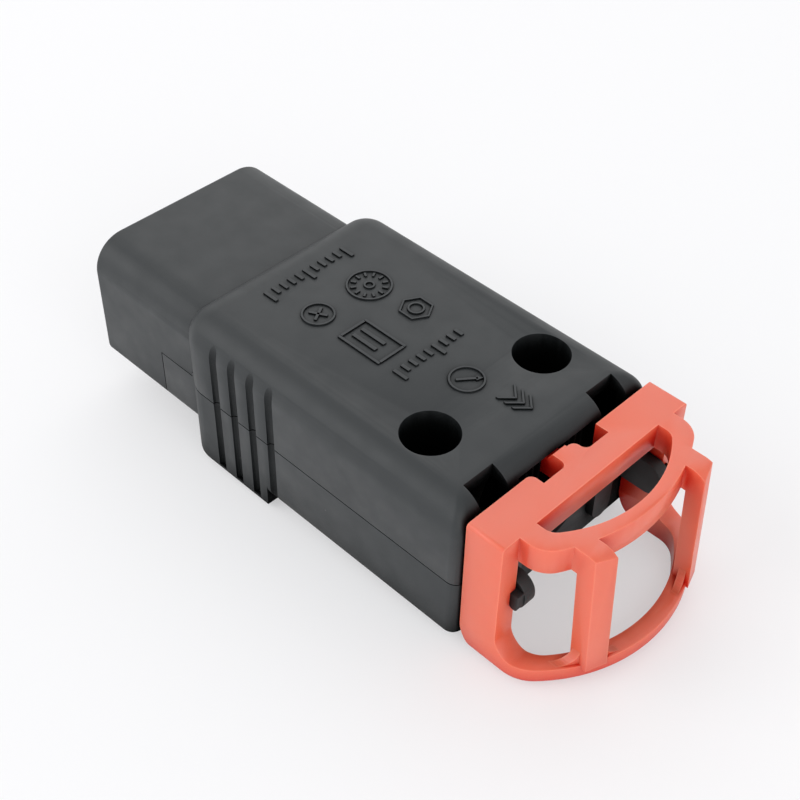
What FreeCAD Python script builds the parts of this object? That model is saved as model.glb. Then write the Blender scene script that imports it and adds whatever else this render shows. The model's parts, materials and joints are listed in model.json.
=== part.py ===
# A locking, rewireable C19 power connector: two black housing halves, a red release slider
# that is pulled back along +X, and the contacts, terminals, lock lever and clamp inside.
# Frame: X runs from the mating face towards the cable end, Z is up, and the origin is the
# centre of the mating face. All sizes are in millimetres.
import FreeCAD, Part
import math
import os
import Sketcher
from FreeCAD import Vector

os.makedirs("parts", exist_ok=True)
doc = FreeCAD.newDocument("lockingConnector")
sheet = doc.addObject("Spreadsheet::Sheet", "Sizes")

# ---- driving dimensions ---------------------------------------------------------------------
sizes = {
    # nose that goes into the inlet
    "noseWidth": 28.5, "noseHeight": 17.9, "noseTopRound": 4.5, "noseBottomRound": 1.5,
    "noseEdge": 0.6, "noseWall": 2.0, "noseFace": 2.4, "noseTubeLength": 12.6, "tabDrop": 0.7,
    # housing block
    "bodyStart": 18.8, "bodyWidth": 32.0, "bodyTop": 10.5, "bodyBottom": 10.7, "bodyLength": 46.5,
    "bodyWall": 2.0, "bodyRound": 4.0, "lowerRound": 1.2, "rearRound": 1.5, "rearLowerRound": 2.5,
    "partingDrop": 0.6, "seamGap": 0.15,
    # finger grip under the front of the housing
    "gripDrop": 1.7, "gripLength": 15.4, "grooveFirst": 6.9, "groovePitch": 3.27,
    "grooveWidth": 1.3, "grooveDepth": 0.6,
    # contact slots in the mating face, the insulator and the folded female contacts
    "slotWidth": 8.6, "slotHeight": 2.6, "rowOffset": 4.0, "poleOffset": 6.5, "carrierLength": 16.0,
    "fitGap": 0.15, "contactGap": 0.2, "bladeWidth": 8.2, "bladeHeight": 2.0, "contactSheet": 0.6,
    "contactLength": 15.0, "contactSeam": 0.8, "strapWidth": 5.0, "strapSheet": 0.8,
    # screw terminals and the bench that carries them
    "terminalStart": 31.5, "terminalLength": 8.0, "terminalWidth": 5.6, "terminalHeight": 4.8,
    "terminalDrop": 2.6, "strapSeat": 3.0, "wireRadius": 1.5, "wireDepth": 6.0, "screwRadius": 1.5,
    "screwHeadRadius": 2.5, "screwHeadHeight": 1.6, "screwGap": 0.08, "screwTipGap": 0.6,
    "driveWidth": 0.8, "driveDepth": 0.8, "benchMargin": 1.0, "benchSide": 0.4, "benchTunnel": 1.7,
    "pedestalSide": 0.2,
    # housing screws
    "caseScrewX": 54.45, "caseScrewY": 9.2, "wellRadius": 3.46, "wellWall": 1.6, "wellFloor": 1.0,
    "caseHeadRadius": 2.75, "caseHeadHeight": 2.1, "bossRadius": 2.4, "caseScrewDepth": 6.0,
    # cable end
    "mouthSide": 6.2, "mouthTop": 8.8, "mouthBottom": 5.8, "ribFirst": 2.3, "ribPitch": 1.1,
    "ribSheet": 0.3, "ribRecess": 0.9, "notchStart": 62.1, "notchInner": 7.75, "notchWidth": 4.5,
    "notchDepth": 6.2, "cableRadius": 5.2, "clampStart": 59.9, "clampLength": 3.1,
    "clampSideGap": 0.7, "clampHeight": 3.6, "clampLift": 0.3, "clampScrewInset": 1.7,
    "clampScrewRadius": 1.1, "clampHeadGap": 0.4,
    "clampHeadRadius": 1.5, "clampHeadHeight": 1.2, "clampScrewDepth": 4.0, "clampBossDepth": 5.0,
    "clampRidge": 0.7, "clampSheet": 1.4,
    # pull frame: arms that hook behind the cage walls, struts, yoke and rod
    "slideTravel": 2.5, "runningGap": 0.3, "armGap": 0.2, "armSheet": 1.6, "armTop": 2.4,
    "armHeight": 4.5, "armRound": 2.1, "armTail": 1.3, "barbReach": 1.0, "barbLength": 1.1,
    "barbRise": 1.1, "barbHeight": 2.3, "barbRound": 0.5, "guideSideGap": 1.1, "guideSheet": 1.0,
    "guideTop": 2.7,
    "guideBottom": 7.4, "strutLength": 1.5, "yokeStart": 41.5, "yokeLength": 2.5,
    "yokeHeight": 2.4, "rodWidth": 2.4, "rodHeight": 1.1, "rodHookHeight": 2.4,
    "rodHookSheet": 1.2, "rodHookGap": 0.4,
    # release slider: the cage that the fingers pull back
    "sliderGap": 0.25, "sliderWidth": 30.8, "sliderTop": 9.6, "sliderBottom": 10.1,
    "sliderWall": 2.7, "sliderWallLength": 5.0, "sliderReach": 15.35, "rearArcRadius": 20.0,
    "cornerRound": 5.0, "plateSheet": 3.5, "plateWidth": 25.8, "plateReach": 11.9,
    "plateArcRadius": 23.0, "plateRound": 3.4, "rimHeight": 2.7, "rimWidth": 2.0, "rimRound": 1.2,
    "frontLowerRound": 3.6, "fingerStart": 4.9, "fingerReach": 10.5, "fingerWidth": 20.4,
    "fingerArcRadius": 15.9, "fingerRound": 1.8, "pillarInner": 7.35, "pillarWidth": 2.55,
    "pillarDepth": 2.2, "pillarSkew": 0.9, "pillarReach": 13.3, "pillarLean": 1.0,
    "pillarRound": 1.9, "wallFootRound": 2.6, "tongueReach": 2.2,
    "tongueFar": 0.5, "tongueLip": 0.25, "tongueSlope": 0.7, "biteDepth": 1.8, "biteWidth": 3.8,
    "biteInner": 1.6, "biteRound": 0.85, "sliderEdge": 0.5,
    # lock lever on the earth contact
    "leverX": 24.6, "leverSheet": 1.2, "leverWidth": 11.0, "pivotZ": 6.8, "pivotRadius": 0.7,
    "pivotGap": 0.05, "barrelRadius": 1.3, "leverBottom": 0.6, "windowWidth": 6.4,
    "windowTop": 5.3, "windowBottom": 2.3, "legWidth": 3.0, "legEnd": 6.9, "lugSheet": 1.6,
    "lugSideGap": 0.4, "pivotLugLength": 3.4, "pivotLugDrop": 3.4,
    # tension springs that bring the slider back
    "springRadius": 1.0, "springWire": 0.2, "springPitch": 0.75, "springLength": 6.0,
    "springY": 11.0, "springRise": 1.5, "postSheet": 1.6, "postWidth": 2.4, "postHeight": 3.4,
}


class Size:
    """A dimension that knows both its value and the sheet expression that gives it."""

    def __init__(self, text, value):
        self.text = text
        self.value = float(value)

    def join(self, sign, other, value):
        return Size("(%s %s %s)" % (self.text, sign, other.text), value)

    def __add__(self, other):
        other = asSize(other)
        return self.join("+", other, self.value + other.value)

    def __sub__(self, other):
        other = asSize(other)
        return self.join("-", other, self.value - other.value)

    def __mul__(self, other):
        other = asSize(other)
        return self.join("*", other, self.value * other.value)

    def __truediv__(self, other):
        other = asSize(other)
        return self.join("/", other, self.value / other.value)

    def __neg__(self):
        return Size("(0 - %s)" % self.text, -self.value)


def asSize(number):
    return number if isinstance(number, Size) else Size(repr(float(number)), number)


def rootOf(size):
    return Size("sqrt(%s)" % size.text, size.value ** 0.5)


for row, (alias, number) in enumerate(sizes.items(), start=1):
    cell = "B%d" % row
    sheet.set("A%d" % row, alias)
    sheet.set(cell, str(number))
    sheet.setAlias(cell, alias)
doc.recompute()
s = {alias: Size("Sizes." + alias, number) for alias, number in sizes.items()}

tolerance = 0.02


# ---- helpers for bodies, sketches and features ----------------------------------------------
def newBody(label):
    body = doc.addObject("PartDesign::Body", label)
    body.Label = label
    return body


def bind(thing, prop, size):
    thing.setExpression(prop, asSize(size).text)


def newSketch(body, role, offset, name):
    sketch = body.newObject("Sketcher::SketchObject", name)
    plane = [feature for feature in body.Origin.OriginFeatures if feature.Role == role][0]
    sketch.AttachmentSupport = (plane, [""])
    sketch.MapMode = "FlatFace"
    bind(sketch, "AttachmentOffset.Base.z", offset)
    return sketch


def pin(sketch, geometry, point, corner):
    for kind, size in zip(("DistanceX", "DistanceY"), corner):
        size = asSize(size)
        index = sketch.addConstraint(Sketcher.Constraint(kind, -1, 1, geometry, point, size.value))
        bind(sketch, "Constraints[%d]" % index, size)


def outline(sketch, corners, arcs=None):
    """Closed outline through the corners. arcs gives a signed radius for some of its segments,
    positive where the segment turns anticlockwise and negative where it turns clockwise."""
    arcs = arcs or {}
    points = [Vector(asSize(x).value, asSize(y).value, 0) for x, y in corners]
    first = sketch.GeometryCount
    count = len(points)
    ends = []
    for i in range(count):
        start, finish = points[i], points[(i + 1) % count]
        if i not in arcs:
            sketch.addGeometry(Part.LineSegment(start, finish), False)
            ends.append((1, 2))
            continue
        left, right = (start, finish) if arcs[i].value > 0 else (finish, start)
        sketch.addGeometry(arcBetween(left, right, abs(arcs[i].value)), False)
        ends.append((1, 2) if arcs[i].value > 0 else (2, 1))
    for i in range(count):
        following = (i + 1) % count
        sketch.addConstraint(Sketcher.Constraint(
            "Coincident", first + i, ends[i][1], first + following, ends[following][0]))
        pin(sketch, first + i, ends[i][0], corners[i])
        if i in arcs:
            radius = arcs[i] if arcs[i].value > 0 else -arcs[i]
            row = sketch.addConstraint(
                Sketcher.Constraint("Radius", first + i, radius.value))
            bind(sketch, "Constraints[%d]" % row, radius)


def arcBetween(start, finish, radius):
    """The shorter arc that runs anticlockwise from start to finish."""
    chord = finish - start
    half = chord.Length / 2
    inward = Vector(-chord.y, chord.x, 0).normalize()
    centre = (start + finish) / 2 + inward * math.sqrt(radius * radius - half * half)
    low = math.atan2(start.y - centre.y, start.x - centre.x)
    high = math.atan2(finish.y - centre.y, finish.x - centre.x)
    if high < low:
        high += 2 * math.pi
    return Part.ArcOfCircle(Part.Circle(centre, Vector(0, 0, 1), radius), low, high)


def rectangle(x0, y0, x1, y1):
    return [(x0, y0), (x1, y0), (x1, y1), (x0, y1)]


def tunnel(half, low, high, lowRound, highRound):
    """Section that is symmetric about its upright axis, with rounded lower and upper corners."""
    a, b = lowRound, highRound
    corners = [(a - half, low), (half - a, low), (half, low + a), (half, high - b),
               (half - b, high), (b - half, high), (-half, high - b), (-half, low + a)]
    return lambda sketch: outline(sketch, corners, {1: a, 3: b, 5: b, 7: a})


def arch(half, low, high, topRound):
    """Section with square lower corners and rounded upper ones."""
    corners = [(-half, low), (half, low), (half, high - topRound), (half - topRound, high),
               (topRound - half, high), (-half, high - topRound)]
    return lambda sketch: outline(sketch, corners, {2: topRound, 4: topRound})


def trough(half, low, high, lowRound):
    """Section with square upper corners and rounded lower ones."""
    corners = [(lowRound - half, low), (half - lowRound, low), (half, low + lowRound),
               (half, high), (-half, high), (-half, low + lowRound)]
    return lambda sketch: outline(sketch, corners, {1: lowRound, 5: lowRound})


def arcEnd(half, tip, radius):
    """Where an arc that reaches tip on the centre line meets the straight side at half."""
    return tip - radius + rootOf(radius * radius - half * half)


def dShape(start, half, tip, radius):
    """Straight front edge, straight sides, and one arc that reaches tip."""
    end = arcEnd(half, tip, radius)
    corners = [(start, -half), (end, -half), (end, half), (start, half)]
    return lambda sketch: outline(sketch, corners, {1: radius})


def disc(sketch, centre, radius):
    middle = Vector(asSize(centre[0]).value, asSize(centre[1]).value, 0)
    index = sketch.addGeometry(Part.Circle(middle, Vector(0, 0, 1), radius.value), False)
    pin(sketch, index, 3, centre)
    row = sketch.addConstraint(Sketcher.Constraint("Radius", index, radius.value))
    bind(sketch, "Constraints[%d]" % row, radius)


def extrude(body, kind, sketch, length, name):
    before = body.Shape.Volume if body.Tip else 0.0
    feature = body.newObject("PartDesign::" + kind, name)
    feature.Profile = sketch
    bind(feature, "Length", length)
    doc.recompute()
    change = feature.Shape.Volume - before
    if (change <= 0) if kind == "Pad" else (change >= 0):
        raise RuntimeError("%s in %s changes the volume by %g" % (name, body.Label, change))
    return feature


planes = {"X": "YZ_Plane", "Y": "XZ_Plane", "Z": "XY_Plane"}


def solidBetween(body, kind, axis, low, high, name, draw):
    """Pad or pocket what draw puts in a sketch, from low to high along the axis."""
    low, high = asSize(low), asSize(high)
    # pads run along the plane's normal and pockets against it; the XZ plane's normal is -Y
    start = {"X": (low, high), "Z": (low, high), "Y": (-high, -low)}[axis][0 if kind == "Pad" else 1]
    sketch = newSketch(body, planes[axis], start, name + "Sketch")
    draw(sketch)
    return extrude(body, kind, sketch, high - low, name)


def add(body, axis, low, high, name, draw):
    return solidBetween(body, "Pad", axis, low, high, name, draw)


def cut(body, axis, low, high, name, draw):
    return solidBetween(body, "Pocket", axis, low, high, name, draw)


def box(x0, y0, x1, y1):
    return lambda sketch: outline(sketch, rectangle(x0, y0, x1, y1))


def pair(inner, outer, low, high):
    """Two mirrored rectangles in a plane whose first axis is Y."""
    def draw(sketch):
        outline(sketch, rectangle(inner, low, outer, high))
        outline(sketch, rectangle(-outer, low, -inner, high))
    return draw


def pairInPlan(start, end, inner, outer):
    """The same two rectangles seen from above, where the first axis is X."""
    def draw(sketch):
        outline(sketch, rectangle(start, inner, end, outer))
        outline(sketch, rectangle(start, -outer, end, -inner))
    return draw


def discs(centres, radius):
    def draw(sketch):
        for centre in centres:
            disc(sketch, centre, radius)
    return draw


def shape(corners, arcs=None):
    return lambda sketch: outline(sketch, corners, arcs)


def treatEdges(body, kind, prop, size, name, wanted):
    edges = body.Tip.Shape.Edges
    names = ["Edge%d" % (i + 1) for i, edge in enumerate(edges) if wanted(edge.BoundBox)]
    if not names:
        raise RuntimeError("%s in %s finds no edge" % (name, body.Label))
    tip = body.Tip
    feature = body.newObject("PartDesign::" + kind, name)
    feature.Base = (tip, names)
    bind(feature, prop, size)
    doc.recompute()
    if feature.Shape.isNull() or not feature.Shape.isValid():
        raise RuntimeError("%s in %s has no valid shape" % (name, body.Label))
    return feature


def roundEdges(body, radius, name, wanted):
    return treatEdges(body, "Fillet", "Radius", radius, name, wanted)


def bevelEdges(body, size, name, wanted):
    return treatEdges(body, "Chamfer", "Size", size, name, wanted)


def near(value, size):
    return abs(value - asSize(size).value) < tolerance


def flatAt(low, high, size):
    """True for an edge whose two limits both lie at the size."""
    return near(low, size) and near(high, size)


def loft(body, name, low, lowCorners, high, highCorners):
    sections = []
    for end, level, corners in (("Foot", low, lowCorners), ("Head", high, highCorners)):
        sketch = newSketch(body, planes["Z"], level, name + end)
        outline(sketch, corners)
        sections.append(sketch)
    feature = body.newObject("PartDesign::AdditiveLoft", name)
    feature.Profile = sections[0]
    feature.Sections = sections[1:]
    doc.recompute()
    return feature


# ---- values that several pieces share -------------------------------------------------------
def half(name):
    return s[name] / 2


parting = -s["partingDrop"]
tabTop = parting - s["tabDrop"]
bodyStart = s["bodyStart"]
bodyEnd = bodyStart + s["bodyLength"]
bodySide = half("bodyWidth")
roomStart = bodyStart + s["bodyWall"]
roomEnd = bodyEnd - s["bodyWall"]
roomSide = bodySide - s["bodyWall"]
roomTop = s["bodyTop"] - s["bodyWall"]
roomFloor = s["bodyWall"] - s["bodyBottom"]
noseSide = half("noseWidth")
noseTop = half("noseHeight")
noseRoomSide = noseSide - s["noseWall"]
noseRoomTop = noseTop - s["noseWall"]
noseRoomRound = s["noseTopRound"] - s["noseWall"]
noseRoomCorner = s["noseEdge"]
poles = {"line": (-s["poleOffset"], -s["rowOffset"]),
         "neutral": (s["poleOffset"], -s["rowOffset"]),
         "earth": (asSize(0), s["rowOffset"])}
caseScrews = [(s["caseScrewX"], side) for side in (-s["caseScrewY"], s["caseScrewY"])]
sliderHalf = half("sliderWidth")
wallInner = sliderHalf - s["sliderWall"]
armOuter = wallInner - s["armGap"]
armInner = armOuter - s["armSheet"]
clampSide = armInner - s["clampSideGap"]
clampScrewX = s["clampStart"] + half("clampLength")
clampScrewY = clampSide - s["clampScrewInset"]
clampScrews = [(clampScrewX, side) for side in (-clampScrewY, clampScrewY)]
grooves = [bodyStart + s["grooveFirst"] + s["groovePitch"] * i for i in range(4)]
gripBottom = -(s["bodyBottom"] + s["gripDrop"])
seamFloor = parting - s["seamGap"]
grooveRadius = (half("grooveWidth") * half("grooveWidth") + s["grooveDepth"] * s["grooveDepth"]) / (
    s["grooveDepth"] * 2)
grooveY = bodySide + grooveRadius - s["grooveDepth"]


def cutGrooves(body, low, high, name, centres):
    """Round-bottomed grooves in both sides; they run out where the upper corners round off."""
    for i, centre in enumerate(centres, start=1):
        cut(body, "Z", low, high, "%s%d" % (name, i),
            discs([(centre, -grooveY), (centre, grooveY)], grooveRadius))


# ---- upper housing half: carries the whole mating face --------------------------------------
upper = newBody("upper_shell")
add(upper, "Z", parting, s["bodyTop"], "Block", box(bodyStart, -bodySide, bodyEnd, bodySide))
roundEdges(upper, s["bodyRound"], "BlockRounding", lambda e: (
    flatAt(e.ZMin, e.ZMax, s["bodyTop"])
    or (flatAt(e.XMin, e.XMax, bodyStart) and e.YLength < tolerance)))
roundEdges(upper, s["rearRound"], "RearCorners", lambda e: (
    flatAt(e.XMin, e.XMax, bodyEnd) and e.YLength < tolerance))
add(upper, "X", asSize(0), s["noseTubeLength"], "NoseTube",
    tunnel(noseSide, -noseTop, noseTop, s["noseBottomRound"], s["noseTopRound"]))
roundEdges(upper, s["noseEdge"], "NoseEdge", lambda e: flatAt(e.XMin, e.XMax, 0))
add(upper, "X", s["noseTubeLength"], bodyStart, "NoseRoof",
    arch(noseSide, tabTop, noseTop, s["noseTopRound"]))
add(upper, "X", bodyStart, bodyStart + s["bodyRound"], "NoseRoot",
    arch(noseSide, parting, noseTop, s["noseTopRound"]))
cut(upper, "X", s["noseFace"], bodyStart, "NoseRoom",
    tunnel(noseRoomSide, -noseRoomTop, noseRoomTop, noseRoomCorner, noseRoomRound))
cut(upper, "X", bodyStart, roomStart, "NoseDoor",
    arch(noseRoomSide, parting, noseRoomTop, noseRoomRound))
cut(upper, "X", roomStart, roomEnd, "Room",
    arch(roomSide, parting, roomTop, s["bodyRound"] - s["bodyWall"]))
for pole, (y, z) in poles.items():
    cut(upper, "X", asSize(0), s["noseFace"], pole + "Slot", box(
        y - half("slotWidth"), z - half("slotHeight"), y + half("slotWidth"), z + half("slotHeight")))
cutGrooves(upper, parting, s["bodyTop"], "Groove", grooves)
add(upper, "Z", parting, roomTop, "WellTubes", discs(caseScrews, s["wellRadius"] + s["wellWall"]))
cut(upper, "Z", s["wellFloor"], s["bodyTop"], "Wells", discs(caseScrews, s["wellRadius"]))
cut(upper, "Z", parting, s["wellFloor"], "WellHoles", discs(caseScrews, s["screwRadius"] + s["screwGap"]))
notchOuter = s["notchInner"] + s["notchWidth"]
cut(upper, "Z", s["bodyTop"] - s["notchDepth"], s["bodyTop"], "RearNotches",
    pairInPlan(s["notchStart"], bodyEnd, s["notchInner"], notchOuter))
cut(upper, "X", roomEnd, bodyEnd, "CableHole", lambda sketch: disc(
    sketch, (asSize(0), asSize(0)), s["cableRadius"]))
cut(upper, "X", roomEnd, bodyEnd, "RearMouth",
    box(-s["mouthSide"], s["mouthBottom"], s["mouthSide"], s["mouthTop"]))
for i in range(3):
    inner = s["ribFirst"] + s["ribPitch"] * i
    add(upper, "X", roomEnd, bodyEnd - s["ribRecess"], "MouthRibs%d" % (i + 1),
        pair(inner, inner + s["ribSheet"], s["mouthBottom"], s["mouthTop"]))
lugOuter = half("leverWidth") + s["lugSideGap"] + s["lugSheet"]
lugStart, lugEnd = (s["leverX"] - half("pivotLugLength"), s["leverX"] + half("pivotLugLength"))
add(upper, "X", lugStart, lugEnd, "PivotLugs",
    pair(lugOuter - s["lugSheet"], lugOuter, roomTop - s["pivotLugDrop"], roomTop))
cut(upper, "Y", -lugOuter, lugOuter, "PivotHoles", lambda sketch: disc(
    sketch, (s["leverX"], s["pivotZ"]), s["pivotRadius"] + s["pivotGap"] / 2))

# ---- lower housing half: finger grip and screw bosses; it meets the upper half on the bosses ---
lower = newBody("lower_shell")
gripEnd = bodyStart + s["gripLength"]
add(lower, "Z", -s["bodyBottom"], seamFloor, "Block", box(bodyStart, -bodySide, bodyEnd, bodySide))
add(lower, "Z", gripBottom, -s["bodyBottom"], "Grip", box(bodyStart, -bodySide, gripEnd, bodySide))
roundEdges(lower, s["bodyRound"], "FrontCorners", lambda e: (
    flatAt(e.XMin, e.XMax, bodyStart) and e.YLength < tolerance))
roundEdges(lower, s["rearRound"], "RearCorners", lambda e: (
    flatAt(e.XMin, e.XMax, bodyEnd) and e.YLength < tolerance))
roundEdges(lower, s["lowerRound"], "GripLowerEdge", lambda e: flatAt(e.ZMin, e.ZMax, gripBottom))
roundEdges(lower, s["rearLowerRound"], "RearLowerEdge", lambda e: (
    flatAt(e.ZMin, e.ZMax, -s["bodyBottom"]) and flatAt(e.XMin, e.XMax, bodyEnd)))
add(lower, "X", s["noseTubeLength"] + s["seamGap"], bodyStart, "NoseTab",
    trough(noseSide, -noseTop, tabTop - s["seamGap"], s["noseBottomRound"]))
add(lower, "X", bodyStart, bodyStart + s["bodyRound"], "NoseRoot",
    trough(noseSide, -noseTop, seamFloor, s["noseBottomRound"]))
cut(lower, "X", s["noseTubeLength"], roomStart, "NoseRoom",
    trough(noseRoomSide, -noseRoomTop, parting, noseRoomCorner))
cut(lower, "X", roomStart, roomEnd, "Room", trough(roomSide, roomFloor, parting, noseRoomCorner))
cutGrooves(lower, gripBottom + s["lowerRound"], seamFloor, "Groove", grooves[:3])
cutGrooves(lower, -s["bodyBottom"], seamFloor, "RearGroove", grooves[3:])
add(lower, "Z", roomFloor, parting, "ScrewBosses", discs(caseScrews, s["bossRadius"]))
cut(lower, "Z", parting - s["caseScrewDepth"], parting, "ScrewHoles",
    discs(caseScrews, s["screwRadius"] + s["screwGap"]))
cut(lower, "X", roomEnd, bodyEnd, "CableHole", lambda sketch: disc(
    sketch, (asSize(0), asSize(0)), s["cableRadius"]))
clampSeat = parting - s["clampHeight"] / 2 - s["clampLift"]
add(lower, "Z", roomFloor, clampSeat, "ClampBosses",
    pairInPlan(s["clampStart"], roomEnd, clampScrewY - s["clampHeadRadius"],
               clampScrewY + s["clampHeadRadius"]))
cut(lower, "Z", clampSeat - s["clampBossDepth"], clampSeat, "ClampHoles",
    discs(clampScrews, s["clampScrewRadius"] + s["screwGap"]))
armBottom = s["armTop"] - s["armHeight"]
armStart = s["caseScrewX"] + s["wellRadius"] + s["wellWall"] + s["runningGap"]
for shell, low, high in ((lower, armBottom - s["runningGap"], parting),
                         (upper, parting, s["armTop"] + s["runningGap"])):
    cut(shell, "X", armStart, bodyEnd, "ArmSlots",
        pair(armInner - s["runningGap"], armOuter + s["runningGap"], low, high))
seatStart = s["yokeStart"] - s["springLength"]
add(lower, "Z", roomFloor, roomFloor + s["postHeight"], "SpringPosts",
    pairInPlan(seatStart - s["postSheet"], seatStart, s["springY"] - half("postWidth"),
               s["springY"] + half("postWidth")))

# ---- insulator that holds the contacts inside the nose --------------------------------------
carrier = newBody("contact_carrier")
carrierStart = s["noseFace"] + s["fitGap"]
carrierEnd = carrierStart + s["carrierLength"]
add(carrier, "X", carrierStart, carrierEnd, "Block",
    tunnel(noseRoomSide - s["fitGap"], s["fitGap"] - noseRoomTop, noseRoomTop - s["fitGap"],
           noseRoomCorner, noseRoomRound))
contactWide = half("bladeWidth") + s["contactSheet"]
contactHigh = half("bladeHeight") + s["contactSheet"]
for pole, (y, z) in poles.items():
    wide, high = contactWide + s["contactGap"], contactHigh + s["contactGap"]
    cut(carrier, "X", carrierStart, carrierEnd, pole + "Channel",
        box(y - wide, z - high, y + wide, z + high))

# ---- folded female contacts, each with a strap back to its terminal -------------------------
contacts = []
contactStart = carrierStart + s["contactGap"]
contactEnd = contactStart + s["contactLength"]
strapEnd = s["terminalStart"] + s["strapSeat"]
for pole, (y, z) in poles.items():
    contact = newBody(pole + "_contact")
    add(contact, "X", contactStart, contactEnd, "Sleeve",
        box(y - contactWide, z - contactHigh, y + contactWide, z + contactHigh))
    cut(contact, "X", contactStart, contactEnd, "Mouth",
        box(y - half("bladeWidth"), z - half("bladeHeight"),
            y + half("bladeWidth"), z + half("bladeHeight")))
    cut(contact, "X", contactStart, contactEnd, "Seam",
        box(y - half("contactSeam"), z + half("bladeHeight"),
            y + half("contactSeam"), z + contactHigh))
    add(contact, "X", contactEnd - s["contactSheet"], contactEnd, "Web",
        box(y - half("strapWidth"), z - half("bladeHeight"),
            y + half("strapWidth"), z + half("strapSheet")))
    add(contact, "X", contactEnd, strapEnd, "Strap",
        box(y - half("strapWidth"), z - half("strapSheet"),
            y + half("strapWidth"), z + half("strapSheet")))
    contacts.append(contact)

# ---- screw terminals ------------------------------------------------------------------------
terminals = []
terminalEnd = s["terminalStart"] + s["terminalLength"]
screwX = s["terminalStart"] + half("terminalLength")
terminalRise = s["terminalHeight"] - s["terminalDrop"]
for pole, (y, z) in poles.items():
    terminal = newBody(pole + "_terminal")
    bottom, top = z - s["terminalDrop"], z + terminalRise
    add(terminal, "X", s["terminalStart"], terminalEnd, "Block",
        box(y - half("terminalWidth"), bottom, y + half("terminalWidth"), top))
    cut(terminal, "X", s["terminalStart"], strapEnd + s["screwGap"], "StrapSlot",
        box(y - half("strapWidth") - s["screwGap"], z - half("strapSheet") - s["screwGap"],
            y + half("strapWidth") + s["screwGap"], z + half("strapSheet") + s["screwGap"]))
    cut(terminal, "X", terminalEnd - s["wireDepth"], terminalEnd, "WireHole",
        lambda sketch, centre=(y, z): disc(sketch, centre, s["wireRadius"]))
    cut(terminal, "Z", z, top, "ScrewHole", discs([(screwX, y)], s["screwRadius"] + s["screwGap"]))
    terminals.append(terminal)


def screwSet(label, places, shankRadius, headRadius, headHeight):
    """Slotted pan-head screws; each place is its centre with the levels of its tip and seat."""
    body = newBody(label)
    for i, (x, y, tip, seat) in enumerate(places, start=1):
        add(body, "Z", tip, seat + headHeight, "Shank%d" % i, discs([(x, y)], shankRadius))
        add(body, "Z", seat, seat + headHeight, "Head%d" % i, discs([(x, y)], headRadius))
        cut(body, "Z", seat + headHeight - s["driveDepth"], seat + headHeight, "Drive%d" % i,
            box(x - half("driveWidth"), y - headRadius, x + half("driveWidth"), y + headRadius))
    return body


terminalScrews = screwSet(
    "terminal_screws",
    [(screwX, y, z + s["screwTipGap"], z + terminalRise) for y, z in poles.values()],
    s["screwRadius"], s["screwHeadRadius"], s["screwHeadHeight"])
caseScrewTip = parting - s["caseScrewDepth"] + s["screwTipGap"]
caseScrewSet = screwSet(
    "case_screws", [(x, y, caseScrewTip, s["wellFloor"]) for x, y in caseScrews],
    s["screwRadius"], s["caseHeadRadius"], s["caseHeadHeight"])

# ---- bench that carries the terminals, with a tunnel for the pull rod -----------------------
bench = newBody("terminal_bench")
benchStart, benchEnd = s["terminalStart"] - s["benchMargin"], terminalEnd + s["benchMargin"]
benchTop = -s["rowOffset"] - s["terminalDrop"]
benchSide = s["poleOffset"] + half("terminalWidth") + s["benchSide"]
pedestalSide = half("terminalWidth") + s["pedestalSide"]
add(bench, "X", benchStart, benchEnd, "Base", box(-benchSide, roomFloor, benchSide, benchTop))
add(bench, "X", s["terminalStart"], terminalEnd, "Pedestal",
    box(-pedestalSide, roomFloor, pedestalSide, s["rowOffset"] - s["terminalDrop"]))
rodBottom = roomFloor + s["runningGap"]
rodTop = rodBottom + s["rodHeight"]
cut(bench, "X", benchStart, benchEnd, "RodTunnel",
    box(-s["benchTunnel"], roomFloor, s["benchTunnel"], rodTop + s["runningGap"]))

# ---- cord clamp -----------------------------------------------------------------------------
clamp = newBody("cord_clamp")
clampEnd = s["clampStart"] + s["clampLength"]
clampTop = clampSeat + s["clampHeight"]
add(clamp, "X", s["clampStart"], clampEnd, "Feet",
    box(-clampSide, clampSeat, clampSide, clampTop))
bridgeSide = clampScrewY - s["clampHeadRadius"] - s["clampHeadGap"]
add(clamp, "X", s["clampStart"], clampEnd, "Bridge",
    arch(bridgeSide, clampSeat, bridgeSide, bridgeSide - s["clampSheet"]))
cordSide = bridgeSide - s["clampSheet"] - s["clampRidge"]
cut(clamp, "X", s["clampStart"], clampEnd, "CordArch",
    arch(cordSide, clampSeat, cordSide, cordSide - s["clampRidge"]))
cut(clamp, "Z", clampSeat, clampTop, "ScrewHoles",
    discs(clampScrews, s["clampScrewRadius"] + s["screwGap"]))
clampScrewSet = screwSet(
    "clamp_screws",
    [(x, y, clampSeat - s["clampScrewDepth"], clampTop) for x, y in clampScrews],
    s["clampScrewRadius"], s["clampHeadRadius"], s["clampHeadHeight"])

# ---- lock lever that grips the earth blade, and its pin -------------------------------------
lever = newBody("lock_lever")
leverFront, leverBack = s["leverX"] - half("leverSheet"), s["leverX"] + half("leverSheet")
add(lever, "X", leverFront, leverBack, "Ring",
    box(-half("leverWidth"), s["leverBottom"], half("leverWidth"), s["pivotZ"]))
cut(lever, "X", leverFront, leverBack, "Window",
    box(-half("windowWidth"), s["windowBottom"], half("windowWidth"), s["windowTop"]))
add(lever, "X", leverFront, leverBack, "Leg",
    box(-half("legWidth"), -s["legEnd"], half("legWidth"), s["leverBottom"]))
add(lever, "Y", -half("leverWidth"), half("leverWidth"), "Barrel", lambda sketch: disc(
    sketch, (s["leverX"], s["pivotZ"]), s["barrelRadius"]))
cut(lever, "Y", -half("leverWidth"), half("leverWidth"), "PinHole", lambda sketch: disc(
    sketch, (s["leverX"], s["pivotZ"]), s["pivotRadius"] + s["pivotGap"]))
pivotPin = newBody("lock_pivot_pin")
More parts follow.
